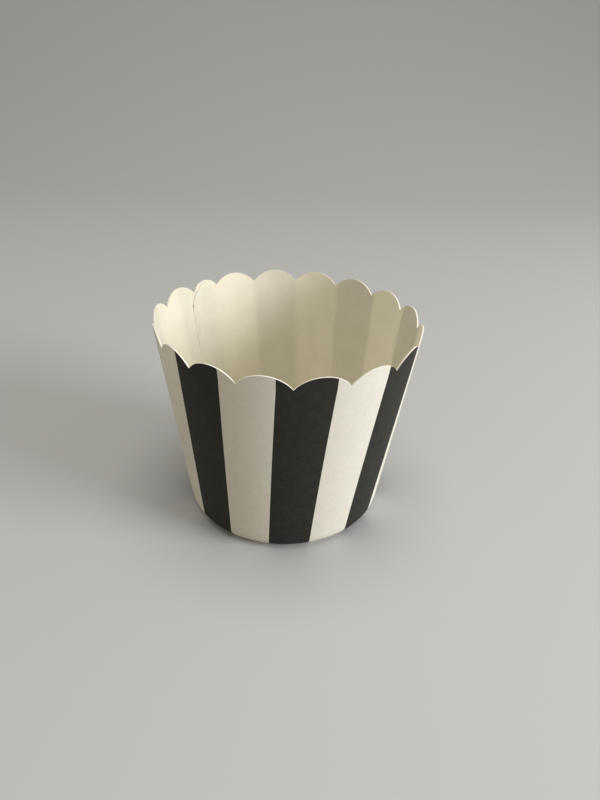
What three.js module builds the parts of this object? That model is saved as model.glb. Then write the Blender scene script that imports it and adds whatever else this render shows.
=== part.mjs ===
// Paper baking cup: a printed paper sheet rolled into a scalloped cone, and a paper base disc.
// Millimetres, +Z up, origin on the table at the middle of the base, front of the cup towards -Y.
import * as THREE from 'three';

// Side wall, measured on its outside.
const baseDiameter = 50;        // the wall's cone carried down to the table
const rimDiameter = 62.5;       // circle through the bottoms of the notches in the rim
const rimOutOfRound = 0.55;     // how much further out the rim stands in line with the lap
const notchHeight = 48.5;       // table to the bottoms of the notches
const paperThickness = 0.3;
const baseCornerRadius = 3.8;   // rounded edge where the wall turns in under the cup
const turnedInWidth = 5;        // flat ring turned in under the cup, inside the rounded edge

// Scallops cut along the rim, with lengths measured along the rim circle.
const scallopPitch = 11.85;
const scallopHeight = 2.9;
const firstNotch = 8.1;         // inner end of the sheet to the first notch
const notchCount = 17;          // the last one is beside the tab at the outer end of the sheet
const tabHeight = 2.5;          // round tab between the last notch and the outer end
const endRounding = 7;          // rounded top corner of the inner end
const endDrop = 0.7;            // how far that corner stays below the tops of the scallops

// Glued lap of the sheet on itself.
const lapWidth = 9;             // along the rim circle
const glueGap = 0.05;           // glue between the two layers
const lapStepWidth = 8;         // where the inner layer eases out to the line of the wall
const seamAngle = -125.3;       // inner end of the sheet, degrees from the front, positive to the right

// Printed stripes.
const stripeCount = 16;         // black and white together
const stripeStart = -3.8;       // one edge between black and white at the rim, degrees from the front
const printSlant = 4.2;         // how far the stripes turn from the rim down to the table, degrees

// Base disc, glued on the turned-in ring inside the cup.
const discThickness = 0.35;
const discClearance = 0.15;     // between the disc and the paper under and around it
const discEdgeTurn = 35;        // how far the edge of the disc follows the rounded edge upwards, degrees

// Fineness of the mesh.
const scallopSteps = 8;
const cornerSteps = 5;
const discSegments = 72;
const closestColumns = 0.5;     // between a column for roundness and its neighbours
const samePlace = 0.05;         // closer than this, two columns are one

const black = new THREE.Color(0x23231f);
const white = new THREE.Color(0xe4e1d6);
const cream = new THREE.Color(0xf2ecd8);
const cutEdge = new THREE.Color(0xf7f4ea);

const radians = THREE.MathUtils.degToRad;
const baseRadius = baseDiameter / 2;
const rimRadius = rimDiameter / 2;
const lean = Math.atan2(rimRadius - baseRadius, notchHeight);
const cornerCentreRadius = baseRadius + baseCornerRadius * (Math.tan(lean) - 1 / Math.cos(lean));
const sheetLength = 2 * Math.PI * rimRadius + lapWidth;
const scallopRadius = (scallopHeight ** 2 + (scallopPitch / 2) ** 2) / (2 * scallopHeight);
const lastNotch = firstNotch + (notchCount - 1) * scallopPitch;
const tabHalfWidth = (sheetLength - lastNotch) / 2;
const tabRadius = (tabHeight ** 2 + tabHalfWidth ** 2) / (2 * tabHeight);
const stripePitch = (2 * Math.PI * rimRadius) / stripeCount;
const layerStep = paperThickness + glueGap;
const lapMiddle = radians(seamAngle) - lapWidth / 2 / rimRadius;

// Height of the scalloped edge at a place along the sheet.
function edgeHeight(along) {
  if (along > lastNotch) {
    const fromTabMiddle = along - lastNotch - tabHalfWidth;
    return notchHeight + tabHeight - tabRadius + Math.sqrt(tabRadius ** 2 - fromTabMiddle ** 2);
  }
  const fromNotch = THREE.MathUtils.euclideanModulo(along - firstNotch, scallopPitch);
  const fromMiddle = fromNotch - scallopPitch / 2;
  const drop = scallopRadius - Math.sqrt(scallopRadius ** 2 - fromMiddle ** 2);
  const scallop = notchHeight + scallopHeight - drop;
  if (along >= endRounding) {
    return scallop;
  }
  const cornerDrop = endRounding - Math.sqrt(endRounding ** 2 - (endRounding - along) ** 2);
  return Math.min(scallop, notchHeight + scallopHeight - endDrop - cornerDrop);
}

// Distance along the sheet of the printed edges between black and white.
function stripeEdges() {
  const first = radians(seamAngle - stripeStart) * rimRadius;
  const places = [];
  const start = Math.ceil(-first / stripePitch);
  for (let k = start; first + k * stripePitch < sheetLength; k += 1) {
    places.push(first + k * stripePitch);
  }
  return places;
}

function isBlack(along) {
  const first = radians(seamAngle - stripeStart) * rimRadius;
  return THREE.MathUtils.euclideanModulo(Math.floor((along - first) / stripePitch), 2) === 1;
}

// Places along the sheet where the mesh has a column: ends, notches, print edges and round stretches.
function columnPlaces() {
  const wanted = [0, sheetLength, ...stripeEdges()];
  for (let notch = firstNotch; notch < sheetLength; notch += scallopPitch) {
    wanted.push(notch);
  }
  const extra = [];
  const halfTurn = Math.asin(scallopPitch / 2 / scallopRadius);
  for (let middle = firstNotch - scallopPitch / 2; middle < lastNotch; middle += scallopPitch) {
    for (let step = 1; step < scallopSteps; step += 1) {
      extra.push(middle + scallopRadius * Math.sin(halfTurn * ((2 * step) / scallopSteps - 1)));
    }
  }
  const halfTabTurn = Math.asin(tabHalfWidth / tabRadius);
  for (let step = 1; step < scallopSteps; step += 1) {
    extra.push(endRounding * (1 - Math.cos((Math.PI / 2) * (step / scallopSteps))));
    const tabPlace = tabRadius * Math.sin(halfTabTurn * ((2 * step) / scallopSteps - 1));
    extra.push(lastNotch + tabHalfWidth + tabPlace);
  }
  const places = wanted.filter((place, i) => wanted.findIndex((p) => Math.abs(p - place) < samePlace) === i);
  for (const place of extra) {
    const inside = place > 0 && place < sheetLength;
    if (inside && places.every((p) => Math.abs(p - place) > closestColumns)) {
      places.push(place);
    }
  }
  return places.sort((a, b) => a - b);
}

// How deep the outside of the sheet lies inside the line of the wall: one layer in at the lap.
function layerDepth(along) {
  const eased = THREE.MathUtils.smoothstep(along, lapWidth, lapWidth + lapStepWidth);
  return layerStep * (1 - eased);
}

// Section of the sheet from the turned-in ring, round the edge and up the wall to its cut edge.
// Each point is a radius and a height on a line a given depth inside the outside of the cup.
function sectionLine(depth, topHeight) {
  const line = [
    [cornerCentreRadius - turnedInWidth, depth],
    [cornerCentreRadius, depth],
  ];
  const turn = Math.PI / 2 - lean;
  for (let step = 1; step <= cornerSteps; step += 1) {
    const angle = (turn * step) / cornerSteps;
    const reach = baseCornerRadius - depth;
    line.push([cornerCentreRadius + reach * Math.sin(angle), baseCornerRadius - reach * Math.cos(angle)]);
  }
  for (const height of [notchHeight / 2, notchHeight - scallopHeight, topHeight]) {
    const radius = baseRadius + height * Math.tan(lean);
    line.push([radius - depth * Math.cos(lean), height + depth * Math.sin(lean)]);
  }
  return line;
}

// A column turns with the print from the rim down, but follows the straight cut at both ends.
function columnPoints(along) {
  const fromEnd = Math.min(along, sheetLength - along);
  const slant = radians(printSlant) * Math.min(1, fromEnd / lapWidth);
  const atRim = radians(seamAngle) - along / rimRadius;
  const depth = layerDepth(along);
  const outside = sectionLine(depth, edgeHeight(along));
  const inside = sectionLine(depth + paperThickness, edgeHeight(along)).reverse();
  return [...outside, ...inside].map(([round, height]) => {
    const rise = height / notchHeight;
    const angle = atRim - slant * (1 - Math.min(1, rise));
    const radius = round + rimOutOfRound * rise * Math.cos(2 * (angle - lapMiddle));
    return new THREE.Vector3(radius * Math.sin(angle), -radius * Math.cos(angle), height);
  });
}

function makeSideWall() {
  const places = columnPlaces();
  const columns = places.map(columnPoints);
  const loop = columns[0].length;
  const rows = loop / 2;
  const positions = [];
  const colours = [];
  function quad(a, b, c, d, colour) {
    for (const point of [a, b, c, a, c, d]) {
      positions.push(point.x, point.y, point.z);
      colours.push(colour.r, colour.g, colour.b);
    }
  }
  for (let i = 0; i + 1 < columns.length; i += 1) {
    const print = isBlack((places[i] + places[i + 1]) / 2) ? black : white;
    for (let j = 0; j < loop; j += 1) {
      const next = (j + 1) % loop;
      let colour = cream;
      if (j < rows - 1) {
        colour = print;
      } else if (j === rows - 1 || j === loop - 1) {
        colour = cutEdge;
      }
      quad(columns[i + 1][j], columns[i][j], columns[i][next], columns[i + 1][next], colour);
    }
  }
  const first = columns[0];
  const last = columns[columns.length - 1];
  for (let j = 0; j + 1 < rows; j += 1) {
    quad(first[j + 1], first[j], first[loop - 1 - j], first[loop - 2 - j], cutEdge);
    quad(last[j], last[j + 1], last[loop - 2 - j], last[loop - 1 - j], cutEdge);
  }
  const geometry = new THREE.BufferGeometry();
  geometry.setAttribute('position', new THREE.Float32BufferAttribute(positions, 3));
  geometry.setAttribute('color', new THREE.Float32BufferAttribute(colours, 3));
  geometry.computeVertexNormals();
  const paper = new THREE.MeshStandardMaterial({
    color: 0xffffff,
    vertexColors: true,
    roughness: 0.6,
    metalness: 0,
  });
  return new THREE.Mesh(geometry, paper);
}

// The disc lies on the doubled paper of the lap, and its edge follows the rounded edge a little way up.
function makeBaseDisc() {
  const underside = layerStep + paperThickness + discClearance;
  const profile = [new THREE.Vector2(0, underside)];
  const turn = radians(discEdgeTurn);
  for (let step = 0; step <= cornerSteps; step += 1) {
    const angle = (turn * step) / cornerSteps;
    const reach = baseCornerRadius - underside;
    profile.push(new THREE.Vector2(
      cornerCentreRadius + reach * Math.sin(angle),
      baseCornerRadius - reach * Math.cos(angle),
    ));
  }
  for (let step = cornerSteps; step >= 0; step -= 1) {
    const angle = (turn * step) / cornerSteps;
    const reach = baseCornerRadius - underside - discThickness;
    profile.push(new THREE.Vector2(
      cornerCentreRadius + reach * Math.sin(angle),
      baseCornerRadius - reach * Math.cos(angle),
    ));
  }
  profile.push(new THREE.Vector2(0, underside + discThickness));
  const geometry = new THREE.LatheGeometry(profile, discSegments);
  geometry.rotateX(Math.PI / 2);
  const paper = new THREE.MeshStandardMaterial({ color: cream, roughness: 0.7, metalness: 0 });
  return new THREE.Mesh(geometry, paper);
}

const bakingCup = new THREE.Group();

const sideWall = makeSideWall();
sideWall.name = 'side_wall';
bakingCup.add(sideWall);

const baseDisc = makeBaseDisc();
baseDisc.name = 'base_disc';
bakingCup.add(baseDisc);

export default bakingCup;
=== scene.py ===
"""Looks of the paper baking cup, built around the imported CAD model.

The printed side wall and the base disc are modelled again with a finer mesh, on the same sizes as the CAD
solids they stand for. Sizes of the cup and the camera are in millimetres until the last step, which makes
them metres.
"""

import math
import random

import bpy
from mathutils import Matrix, Vector


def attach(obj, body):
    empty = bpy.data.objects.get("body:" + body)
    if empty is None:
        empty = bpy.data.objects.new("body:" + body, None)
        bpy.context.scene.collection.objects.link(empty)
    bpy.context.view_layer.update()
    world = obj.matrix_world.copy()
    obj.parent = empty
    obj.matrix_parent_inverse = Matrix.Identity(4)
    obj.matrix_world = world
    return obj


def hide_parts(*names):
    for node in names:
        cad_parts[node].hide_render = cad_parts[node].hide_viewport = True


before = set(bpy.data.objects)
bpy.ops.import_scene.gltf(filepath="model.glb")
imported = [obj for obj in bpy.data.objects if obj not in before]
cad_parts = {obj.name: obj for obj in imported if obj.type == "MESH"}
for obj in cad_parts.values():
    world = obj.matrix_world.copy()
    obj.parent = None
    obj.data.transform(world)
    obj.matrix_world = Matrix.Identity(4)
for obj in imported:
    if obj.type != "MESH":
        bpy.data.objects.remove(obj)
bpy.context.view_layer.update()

MM = 0.001

# Side wall, measured on its outside.
BASE_DIAMETER = 50.0
RIM_DIAMETER = 62.5
RIM_OUT_OF_ROUND = 0.55
NOTCH_HEIGHT = 48.5
PAPER_THICKNESS = 0.3
BASE_CORNER_RADIUS = 3.8
TURNED_IN_WIDTH = 5.0

# Scallops along the rim.
SCALLOP_PITCH = 11.85
SCALLOP_HEIGHT = 2.9
FIRST_NOTCH = 8.1
NOTCH_COUNT = 17
TAB_HEIGHT = 2.5     # round tab between the last notch and the outer end of the sheet
END_ROUNDING = 7.0   # rounded top corner of the inner end
END_DROP = 0.7       # how far that corner stays below the tops of the scallops

# Glued lap of the sheet on itself. Angles run from the front of the cup, positive to the right.
LAP_WIDTH = 9.0
GLUE_GAP = 0.05
LAP_STEP_WIDTH = 8.0
PRESSED_WIDTH = 1.5  # the inner end is pressed thinner and flat where it is glued down
PRESSED_END = 0.35   # share of the paper's thickness that is left there
PRESSED_GAP = 0.01
SEAM_ANGLE = math.radians(-125.3)

# Printed stripes.
STRIPE_COUNT = 16
STRIPE_START = math.radians(-3.8)
PRINT_SLANT = math.radians(4.2)
SHOW_THROUGH_EDGE = 0.9  # soft edge of the stripes that show on the inside

# Base disc.
DISC_THICKNESS = 0.35
DISC_CLEARANCE = 0.15
DISC_EDGE_TURN = math.radians(35)

# Fineness of the two meshes.
SCALLOP_STEPS = 26
RING_ROWS = 4
CORNER_ROWS = 12
WALL_ROWS = 14
CLOSEST_COLUMNS = 0.16
DISC_SEGMENTS = 180
DISC_RINGS = 14
DISC_TURN_ROWS = 6
SHARP_FROM = math.radians(40)  # edges that bend more than this stay sharp

# Small unevenness of the rolled paper.
WAVE_DEPTH = 0.06
CREASE_DEPTH = 0.11
CREASE_COUNT = 46
CREASE_UNEVENNESS = 0.35  # share of a step that a crease may be off its even place
CREASE_FADE = (0.25, 0.8)  # shares of the rounded edge between which the creases end
CREASE_WIDTH = math.radians(1.5)
SEED = 11

base_radius = BASE_DIAMETER / 2
rim_radius = RIM_DIAMETER / 2
lean = math.atan2(rim_radius - base_radius, NOTCH_HEIGHT)
corner_centre_radius = base_radius + BASE_CORNER_RADIUS * (math.tan(lean) - 1 / math.cos(lean))
sheet_length = 2 * math.pi * rim_radius + LAP_WIDTH
scallop_radius = (SCALLOP_HEIGHT**2 + (SCALLOP_PITCH / 2) ** 2) / (2 * SCALLOP_HEIGHT)
last_notch = FIRST_NOTCH + (NOTCH_COUNT - 1) * SCALLOP_PITCH
tab_half_width = (sheet_length - last_notch) / 2
tab_radius = (TAB_HEIGHT**2 + tab_half_width**2) / (2 * TAB_HEIGHT)
stripe_pitch = 2 * math.pi * rim_radius / STRIPE_COUNT
first_stripe = (SEAM_ANGLE - STRIPE_START) * rim_radius
layer_step = PAPER_THICKNESS + GLUE_GAP
lap_middle = SEAM_ANGLE - LAP_WIDTH / 2 / rim_radius


def smooth_step(value, low, high):
    share = min(1.0, max(0.0, (value - low) / (high - low)))
    return share * share * (3 - 2 * share)


# The sheet of the side wall


def edge_height(along):
    """Height of the scalloped edge at a place along the sheet."""
    if along > last_notch:
        from_tab_middle = along - last_notch - tab_half_width
        return NOTCH_HEIGHT + TAB_HEIGHT - tab_radius + math.sqrt(tab_radius**2 - from_tab_middle**2)
    from_middle = (along - FIRST_NOTCH) % SCALLOP_PITCH - SCALLOP_PITCH / 2
    drop = scallop_radius - math.sqrt(scallop_radius**2 - from_middle**2)
    scallop = NOTCH_HEIGHT + SCALLOP_HEIGHT - drop
    if along >= END_ROUNDING:
        return scallop
    corner_drop = END_ROUNDING - math.sqrt(END_ROUNDING**2 - (END_ROUNDING - along) ** 2)
    return min(scallop, NOTCH_HEIGHT + SCALLOP_HEIGHT - END_DROP - corner_drop)


def stripe_edges():
    first = math.ceil(-first_stripe / stripe_pitch)
    last = math.floor((sheet_length - first_stripe) / stripe_pitch)
    return [first_stripe + k * stripe_pitch for k in range(first, last + 1)]


def is_black(along):
    return math.floor((along - first_stripe) / stripe_pitch) % 2 == 1


def black_behind(along):
    """How much of the black print shows through the paper at a place, from 0 to 1, with soft edges."""
    from_middle = (along - first_stripe - stripe_pitch / 2) % (2 * stripe_pitch) - stripe_pitch
    outside = abs(from_middle) - stripe_pitch / 2
    return 1 - smooth_step(outside, -SHOW_THROUGH_EDGE / 2, SHOW_THROUGH_EDGE / 2)


def column_places():
    """Places along the sheet that get a column: ends, notches, print edges and round stretches."""
    wanted = [0.0, sheet_length] + stripe_edges()
    wanted += [FIRST_NOTCH + k * SCALLOP_PITCH for k in range(NOTCH_COUNT)]
    extra = []
    half_turn = math.asin(SCALLOP_PITCH / 2 / scallop_radius)
    half_tab_turn = math.asin(tab_half_width / tab_radius)
    for step in range(1, SCALLOP_STEPS):
        turn = 2 * step / SCALLOP_STEPS - 1
        for k in range(NOTCH_COUNT):
            middle = FIRST_NOTCH + (k - 0.5) * SCALLOP_PITCH
            extra.append(middle + scallop_radius * math.sin(half_turn * turn))
        extra.append(END_ROUNDING * (1 - math.cos(math.pi / 2 * step / SCALLOP_STEPS)))
        extra.append(last_notch + tab_half_width + tab_radius * math.sin(half_tab_turn * turn))
    places = []
    for place in wanted + extra:
        inside = 0 <= place <= sheet_length
        if inside and all(abs(place - other) > CLOSEST_COLUMNS for other in places):
            places.append(place)
    return sorted(places)


def layer_depth(along):
    """How deep the outside of the sheet lies inside the line of the wall: one layer in at the lap."""
    return layer_step * (1 - smooth_step(along, LAP_WIDTH, LAP_WIDTH + LAP_STEP_WIDTH))


def crease_angles():
    """Small creases where the paper is turned in, at uneven steps round the base."""
    draw = random.Random(SEED)
    step = 2 * math.pi / CREASE_COUNT
    return [(k + draw.uniform(-CREASE_UNEVENNESS, CREASE_UNEVENNESS)) * step for k in range(CREASE_COUNT)]


creases = crease_angles()


def crease_at(angle):
    nearest = min(abs(math.remainder(angle - crease, 2 * math.pi)) for crease in creases)
    return max(0.0, 1 - nearest / CREASE_WIDTH)


def wave_at(angle, rise):
    """Slow unevenness of the rolled wall, nothing at the base: three waves round and five slanted ones."""
    slow = math.sin(3 * angle + 0.7) + 0.6 * math.sin(5 * angle + 2.1 + 2.5 * rise)
    return WAVE_DEPTH * rise * slow


def section_line(depth, top_height):
    """Points from the turned-in ring, round the edge and up the wall to the cut edge.

    Each has a radius, a height, a share of crease and the direction from there into the paper.
    """
    line = []
    for step in range(RING_ROWS):
        share = step / RING_ROWS
        line.append((corner_centre_radius - TURNED_IN_WIDTH * (1 - share), depth, 1.0, (0.0, 1.0)))
    turn = math.pi / 2 - lean
    fade_start, fade_end = (share * turn for share in CREASE_FADE)
    reach = BASE_CORNER_RADIUS - depth
    for step in range(CORNER_ROWS + 1):
        angle = turn * step / CORNER_ROWS
        radius = corner_centre_radius + reach * math.sin(angle)
        height = BASE_CORNER_RADIUS - reach * math.cos(angle)
        inward = (-math.sin(angle), math.cos(angle))
        line.append((radius, height, 1 - smooth_step(angle, fade_start, fade_end), inward))
    inward = (-math.cos(lean), math.sin(lean))
    shoulder = NOTCH_HEIGHT - SCALLOP_HEIGHT
    start = BASE_CORNER_RADIUS * (1 - math.sin(lean))
    heights = [start + (shoulder - start) * (step + 1) / WALL_ROWS for step in range(WALL_ROWS)]
    heights += [(shoulder + top_height) / 2, top_height]
    for height in heights:
        radius = base_radius + height * math.tan(lean)
        line.append((radius + depth * inward[0], height + depth * inward[1], 0.0, inward))
    return line


def column_points(along):
    from_end = min(along, sheet_length - along)
    slant = PRINT_SLANT * min(1.0, from_end / LAP_WIDTH)
    at_rim = SEAM_ANGLE - along / rim_radius
    pressed = 1 - smooth_step(along, 0, PRESSED_WIDTH)
    depth = layer_depth(along) - (GLUE_GAP - PRESSED_GAP) * pressed
    inner_depth = depth + PAPER_THICKNESS * (1 - (1 - PRESSED_END) * pressed)
    top = edge_height(along)
    points = []
    for line in (section_line(depth, top), section_line(inner_depth, top)[::-1]):
        for round_radius, height, crease_share, inward in line:
            rise = height / NOTCH_HEIGHT
            angle = at_rim - slant * (1 - min(1.0, rise))
            crease = CREASE_DEPTH * crease_share * crease_at(angle) if crease_share else 0.0
            radius = round_radius + crease * inward[0] + wave_at(angle, rise)
            radius += RIM_OUT_OF_ROUND * rise * math.cos(2 * (angle - lap_middle))
            height += crease * inward[1]
            points.append(Vector((radius * math.sin(angle), -radius * math.cos(angle), height)) * MM)
    return points


def make_side_wall(materials):
    places = column_places()
    columns = [column_points(along) for along in places]
    loop = len(columns[0])
    rows = loop // 2
    vertices = [point for column in columns for point in column]
    faces = []
    slots = []
    for i in range(len(columns) - 1):
        here, ahead = i * loop, (i + 1) * loop
        print_name = "black_print" if is_black((places[i] + places[i + 1]) / 2) else "white_print"
        for j in range(loop):
            after = (j + 1) % loop
            faces.append((ahead + j, here + j, here + after, ahead + after))
            if j < rows - 1:
                slots.append(print_name)
            elif j in (rows - 1, loop - 1):
                slots.append("cut_edge")
            else:
                slots.append("cream_paper")
    last = (len(columns) - 1) * loop
    for j in range(rows - 1):
        faces.append((j + 1, j, loop - 1 - j, loop - 2 - j))
        faces.append((last + j, last + j + 1, last + loop - 2 - j, last + loop - 1 - j))
        slots += ["cut_edge", "cut_edge"]
    wall = make_mesh("printed_wall", vertices, faces, slots, materials)
    shown = wall.data.attributes.new("print_behind", "FLOAT", "POINT")
    shown.data.foreach_set("value", [black_behind(along) for along in places for _ in range(loop)])
    return wall


# The base disc


def disc_line():
    """Radius and height of the disc's two faces, from the middle of the underside round to the top."""
    underside = layer_step + PAPER_THICKNESS + DISC_CLEARANCE
    line = []
    for side in (underside, underside + DISC_THICKNESS):
        reach = BASE_CORNER_RADIUS - side
        flat = [(corner_centre_radius * ring / DISC_RINGS, side) for ring in range(1, DISC_RINGS)]
        turned = []
        for step in range(DISC_TURN_ROWS + 1):
            angle = DISC_EDGE_TURN * step / DISC_TURN_ROWS
            turned.append((
                corner_centre_radius + reach * math.sin(angle),
                BASE_CORNER_RADIUS - reach * math.cos(angle),
            ))
        face = flat + turned
        line += face if side == underside else face[::-1]
    return line


def make_base_disc(materials):
    line = disc_line()
    underside = layer_step + PAPER_THICKNESS + DISC_CLEARANCE
    vertices = []
    for segment in range(DISC_SEGMENTS):
        angle = 2 * math.pi * segment / DISC_SEGMENTS
        for radius, height in line:
            vertices.append(Vector((radius * math.cos(angle), radius * math.sin(angle), height)) * MM)
    under_middle = len(vertices)
    vertices.append(Vector((0, 0, underside)) * MM)
    over_middle = len(vertices)
    vertices.append(Vector((0, 0, underside + DISC_THICKNESS)) * MM)
    rows = len(line)
    faces = []
    slots = []
    for segment in range(DISC_SEGMENTS):
        here = segment * rows
        ahead = (segment + 1) % DISC_SEGMENTS * rows
        for j in range(rows - 1):
            faces.append((here + j, ahead + j, ahead + j + 1, here + j + 1))
            slots.append("cut_edge" if j == rows // 2 - 1 else "cream_paper")
        faces.append((under_middle, ahead, here))
        faces.append((over_middle, here + rows - 1, ahead + rows - 1))
        slots += ["cream_paper", "cream_paper"]
    return make_mesh("plain_disc", vertices, faces, slots, materials)


def make_mesh(name, vertices, faces, slots, materials):
    mesh = bpy.data.meshes.new(name)
    mesh.from_pydata(vertices, [], faces)
    used = sorted(set(slots))
    for slot_name in used:
        mesh.materials.append(materials[slot_name])
    mesh.polygons.foreach_set("material_index", [used.index(slot_name) for slot_name in slots])
    mesh.polygons.foreach_set("use_smooth", [True] * len(faces))
    mesh.set_sharp_from_angle(angle=SHARP_FROM)
    mesh.update()
    piece = bpy.data.objects.new(name, mesh)
    bpy.context.scene.collection.objects.link(piece)
    return piece


# Materials


class Nodes:
    """Short calls for building one material's nodes."""

    def __init__(self, name):
        self.material = bpy.data.materials.new(name)
        self.material.use_nodes = True
        self.tree = self.material.node_tree
        self.shader = self.tree.nodes["Principled BSDF"]
        self.place = self.add("ShaderNodeTexCoord").outputs["Object"]

    def add(self, kind, inputs=None, **settings):
        node = self.tree.nodes.new(kind)
        for key, value in settings.items():
            setattr(node, key, value)
        for key, value in (inputs or {}).items():
            if isinstance(value, bpy.types.NodeSocket):
                self.tree.links.new(value, node.inputs[key])
            else:
                node.inputs[key].default_value = value
        return node

    def noise(self, scale, detail=2.0, roughness=0.5):
        inputs = {"Vector": self.place, "Scale": scale, "Detail": detail, "Roughness": roughness}
        return self.add("ShaderNodeTexNoise", inputs).outputs["Fac"]

    def ramp(self, factor, low, high):
        """Spreads a factor between two values to 0 and 1."""
        inputs = {"Value": factor, "From Min": low, "From Max": high}
        return self.add("ShaderNodeMapRange", inputs, clamp=True).outputs["Result"]

    def mix(self, factor, first, second):
        """Mixes two colours. The colour sockets of this node are its inputs 6 and 7 and its output 2."""
        node = self.add("ShaderNodeMix", data_type="RGBA")
        for socket, value in ((node.inputs[0], factor), (node.inputs[6], first), (node.inputs[7], second)):
            if isinstance(value, bpy.types.NodeSocket):
                self.tree.links.new(value, socket)
            else:
                socket.default_value = value
        return node.outputs[2]

    def times(self, first, second):
        return self.add("ShaderNodeMath", {0: first, 1: second}, operation="MULTIPLY").outputs[0]

    def larger(self, first, second):
        return self.add("ShaderNodeMath", {0: first, 1: second}, operation="MAXIMUM").outputs[0]

    def feed(self, name, value):
        self.tree.links.new(value, self.shader.inputs[name])

    def let_light_through(self, share, colour):
        """Lets a share of the light into the sheet, and all that is inside it out again."""
        inside = self.add("ShaderNodeNewGeometry").outputs["Backfacing"]
        passing = self.add("ShaderNodeBsdfTranslucent", {"Color": colour}).outputs[0]
        factor = self.larger(inside, share)
        both = self.add("ShaderNodeMixShader", {0: factor, 1: self.shader.outputs[0], 2: passing})
        self.tree.links.new(both.outputs[0], self.tree.nodes["Material Output"].inputs["Surface"])

    def bump(self, height, depth_mm):
        inputs = {"Height": height, "Distance": depth_mm * MM, "Strength": 1.0}
        self.feed("Normal", self.add("ShaderNodeBump", inputs).outputs["Normal"])


GRAIN_DEPTH = 0.03
LESS_ROUGH = 0.05  # in the glossier spots
MORE_ROUGH = 0.06  # in the duller ones


def paper_nodes(name, roughness, specular):
    """Paper with a fine grain and a slightly uneven gloss. Noise scales are in waves per metre."""
    nodes = Nodes(name)
    nodes.shader.inputs["Specular IOR Level"].default_value = specular
    fibres = nodes.noise(1700.0, detail=5.0, roughness=0.65)
    nodes.bump(fibres, GRAIN_DEPTH)
    gloss = nodes.add("ShaderNodeMapRange", {
        "Value": nodes.noise(420.0, detail=3.0),
        "To Min": roughness - LESS_ROUGH,
        "To Max": roughness + MORE_ROUGH,
    })
    nodes.feed("Roughness", gloss.outputs["Result"])
    return nodes


def rgba(red, green, blue):
    return (red, green, blue, 1.0)


# Share of the light that gets into the paper at a white or cream face, and what it is tinted with.
LIGHT_THROUGH = 0.09
PAPER_TINT = rgba(0.97, 0.90, 0.74)
INK_TINT = rgba(0.03, 0.03, 0.03)
SHOW_THROUGH = 0.10


def make_white_print():
    """Coated white paper, faintly clouded."""
    nodes = paper_nodes("white_print", roughness=0.5, specular=0.35)
    cloud = nodes.ramp(nodes.noise(520.0, detail=6.0, roughness=0.7), 0.3, 0.72)
    colour = nodes.mix(cloud, rgba(0.79, 0.76, 0.68), rgba(0.87, 0.84, 0.765))
    nodes.feed("Base Color", colour)
    nodes.let_light_through(LIGHT_THROUGH, PAPER_TINT)
    return nodes.material


def make_black_print():
    """Soft black ink that lets the paper's grain through."""
    nodes = paper_nodes("black_print", roughness=0.72, specular=0.28)
    cloud = nodes.ramp(nodes.noise(700.0, detail=6.0, roughness=0.7), 0.32, 0.7)
    ink = nodes.mix(cloud, rgba(0.013, 0.013, 0.0108), rgba(0.026, 0.026, 0.022))
    pinholes = nodes.ramp(nodes.noise(2600.0, detail=2.0), 0.74, 0.80)
    nodes.feed("Base Color", nodes.mix(nodes.times(pinholes, 0.35), ink, rgba(0.12, 0.115, 0.10)))
    nodes.let_light_through(0.0, INK_TINT)
    return nodes.material


def make_cream_paper():
    """Uncoated cream inside, with the black stripes showing through and a few specks."""
    nodes = paper_nodes("cream_paper", roughness=0.62, specular=0.3)
    cloud = nodes.ramp(nodes.noise(210.0, detail=5.0, roughness=0.6), 0.3, 0.72)
    cream = nodes.mix(cloud, rgba(0.785, 0.745, 0.615), rgba(0.845, 0.805, 0.68))
    behind = nodes.add("ShaderNodeAttribute", attribute_name="print_behind").outputs["Fac"]
    shaded = nodes.mix(nodes.times(behind, SHOW_THROUGH), cream, rgba(0.45, 0.46, 0.40))
    specks = nodes.ramp(nodes.noise(950.0, detail=1.0), 0.765, 0.80)
    nodes.feed("Base Color", nodes.mix(nodes.times(specks, 0.5), shaded, rgba(0.42, 0.38, 0.28)))
    nodes.let_light_through(LIGHT_THROUGH, PAPER_TINT)
    return nodes.material


def make_cut_edge():
    """Raw cut edge of the paper, a little brighter than its faces."""
    nodes = paper_nodes("cut_edge", roughness=0.8, specular=0.2)
    fibres = nodes.ramp(nodes.noise(1300.0, detail=3.0), 0.3, 0.7)
    nodes.feed("Base Color", nodes.mix(fibres, rgba(0.86, 0.83, 0.74), rgba(0.93, 0.91, 0.84)))
    return nodes.material


# Camera, floor and light

CAMERA_DISTANCE = 132.2
CAMERA_HEIGHT = 106.8
CAMERA_PITCH = math.radians(30.88)
CAMERA_YAW = math.radians(1.55)
CAMERA_ROLL = math.radians(-2.08)
CAMERA_LENS = 27.0
CAMERA_NEAREST = 0.01  # metres


def make_camera():
    forward = Vector((
        math.sin(CAMERA_YAW) * math.cos(CAMERA_PITCH),
        math.cos(CAMERA_YAW) * math.cos(CAMERA_PITCH),
        -math.sin(CAMERA_PITCH),
    ))
    level = Vector((math.cos(CAMERA_YAW), -math.sin(CAMERA_YAW), 0))
    down = forward.cross(level)
    right = level * math.cos(CAMERA_ROLL) + down * math.sin(CAMERA_ROLL)
    up = level * math.sin(CAMERA_ROLL) - down * math.cos(CAMERA_ROLL)
    turn = Matrix((right, up, -forward)).transposed().to_4x4()
    data = bpy.data.cameras.new("camera")
    data.lens = CAMERA_LENS
    data.clip_start = CAMERA_NEAREST
    camera = bpy.data.objects.new("camera", data)
    camera.matrix_world = Matrix.Translation(Vector((0, -CAMERA_DISTANCE, CAMERA_HEIGHT)) * MM) @ turn
    bpy.context.scene.collection.objects.link(camera)
    bpy.context.scene.camera = camera


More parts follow.
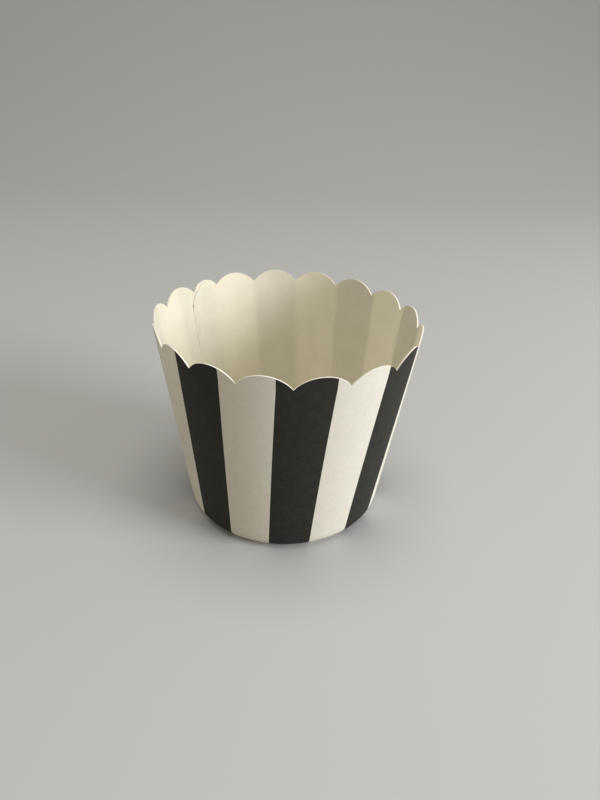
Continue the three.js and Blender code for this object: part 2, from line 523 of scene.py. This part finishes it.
# The floor and the lamps are in metres.
FLOOR_SIZE = 4.0
SWEEP_START = 0.35
SWEEP_RADIUS = 0.9
SWEEP_STEPS = 32
FLOOR_DROP = 0.00002  # keeps the floor just clear of the underside of the cup
FLOOR_SHOWN = rgba(0.52, 0.53, 0.54)
FLOOR_BOUNCE = rgba(0.28, 0.275, 0.255)


def make_floor():
    """Plain floor that sweeps up behind. It looks pale but throws back no more light than a grey table."""
    nodes = Nodes("floor")
    path = nodes.add("ShaderNodeLightPath").outputs
    seen = nodes.larger(path["Is Camera Ray"], path["Is Glossy Ray"])
    seen = nodes.larger(seen, path["Is Transmission Ray"])
    nodes.feed("Base Color", nodes.mix(seen, FLOOR_BOUNCE, FLOOR_SHOWN))
    nodes.shader.inputs["Roughness"].default_value = 0.55
    nodes.shader.inputs["Specular IOR Level"].default_value = 0.25
    half = FLOOR_SIZE / 2
    line = [(-half, 0.0)]
    for step in range(SWEEP_STEPS + 1):
        angle = math.pi / 2 * step / SWEEP_STEPS
        line.append((SWEEP_START + SWEEP_RADIUS * math.sin(angle), SWEEP_RADIUS * (1 - math.cos(angle))))
    line.append((SWEEP_START + SWEEP_RADIUS, half))
    vertices = [(side * half, back, height - FLOOR_DROP) for back, height in line for side in (-1, 1)]
    faces = [(2 * j, 2 * j + 1, 2 * j + 3, 2 * j + 2) for j in range(len(line) - 1)]
    mesh = bpy.data.meshes.new("floor")
    mesh.from_pydata(vertices, [], faces)
    mesh.polygons.foreach_set("use_smooth", [True] * len(faces))
    mesh.materials.append(nodes.material)
    floor = bpy.data.objects.new("floor", mesh)
    bpy.context.scene.collection.objects.link(floor)


def make_lamp(name, bearing, elevation, distance, size, power, colour):
    """A soft square lamp that points at the cup. Its bearing runs from the front, positive to the right."""
    bearing = math.radians(bearing)
    elevation = math.radians(elevation)
    direction = Vector((
        math.sin(bearing) * math.cos(elevation),
        -math.cos(bearing) * math.cos(elevation),
        math.sin(elevation),
    ))
    data = bpy.data.lights.new(name, "AREA")
    data.shape = "SQUARE"
    data.size = size
    data.energy = power
    data.color = colour
    lamp = bpy.data.objects.new(name, data)
    aim = Vector((0, 0, NOTCH_HEIGHT / 2 * MM))
    lamp.location = aim + direction * distance
    lamp.rotation_euler = (-direction).to_track_quat("-Z", "Y").to_euler()
    bpy.context.scene.collection.objects.link(lamp)


WORLD_LIGHT = 0.39
WORLD_COLOUR = rgba(1.0, 0.945, 0.80)
BACKDROP_COLOUR = rgba(0.68, 0.68, 0.667)


def make_world():
    """Even soft light all round. The camera and the reflections see a pale backdrop instead."""
    world = bpy.data.worlds.new("studio")
    world.use_nodes = True
    bpy.context.scene.world = world
    tree = world.node_tree
    light = tree.nodes["Background"]
    light.inputs["Color"].default_value = WORLD_COLOUR
    light.inputs["Strength"].default_value = WORLD_LIGHT
    backdrop = tree.nodes.new("ShaderNodeBackground")
    backdrop.inputs["Color"].default_value = BACKDROP_COLOUR
    path = tree.nodes.new("ShaderNodeLightPath")
    seen = path.outputs["Is Camera Ray"]
    for ray in ("Is Glossy Ray", "Is Transmission Ray"):
        larger = tree.nodes.new("ShaderNodeMath")
        larger.operation = "MAXIMUM"
        tree.links.new(seen, larger.inputs[0])
        tree.links.new(path.outputs[ray], larger.inputs[1])
        seen = larger.outputs[0]
    choose = tree.nodes.new("ShaderNodeMixShader")
    tree.links.new(seen, choose.inputs[0])
    tree.links.new(light.outputs[0], choose.inputs[1])
    tree.links.new(backdrop.outputs[0], choose.inputs[2])
    tree.links.new(choose.outputs[0], tree.nodes["World Output"].inputs["Surface"])


def make_light():
    make_world()
    make_lamp(
        "window", bearing=68, elevation=18.0, distance=0.70, size=0.30, power=4.6, colour=(0.97, 0.985, 1.0)
    )
    make_lamp(
        "ceiling", bearing=0, elevation=90, distance=0.80, size=0.50, power=2.7, colour=(1.0, 0.97, 0.90)
    )


make_camera()
make_floor()
make_light()
bpy.context.scene.view_settings.view_transform = "Standard"

paper = {
    "white_print": make_white_print(),
    "black_print": make_black_print(),
    "cream_paper": make_cream_paper(),
    "cut_edge": make_cut_edge(),
}

side_wall = make_side_wall(paper)
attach(side_wall, "root")
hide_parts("side_wall")

base_disc = make_base_disc(paper)
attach(base_disc, "root")
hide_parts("base_disc")
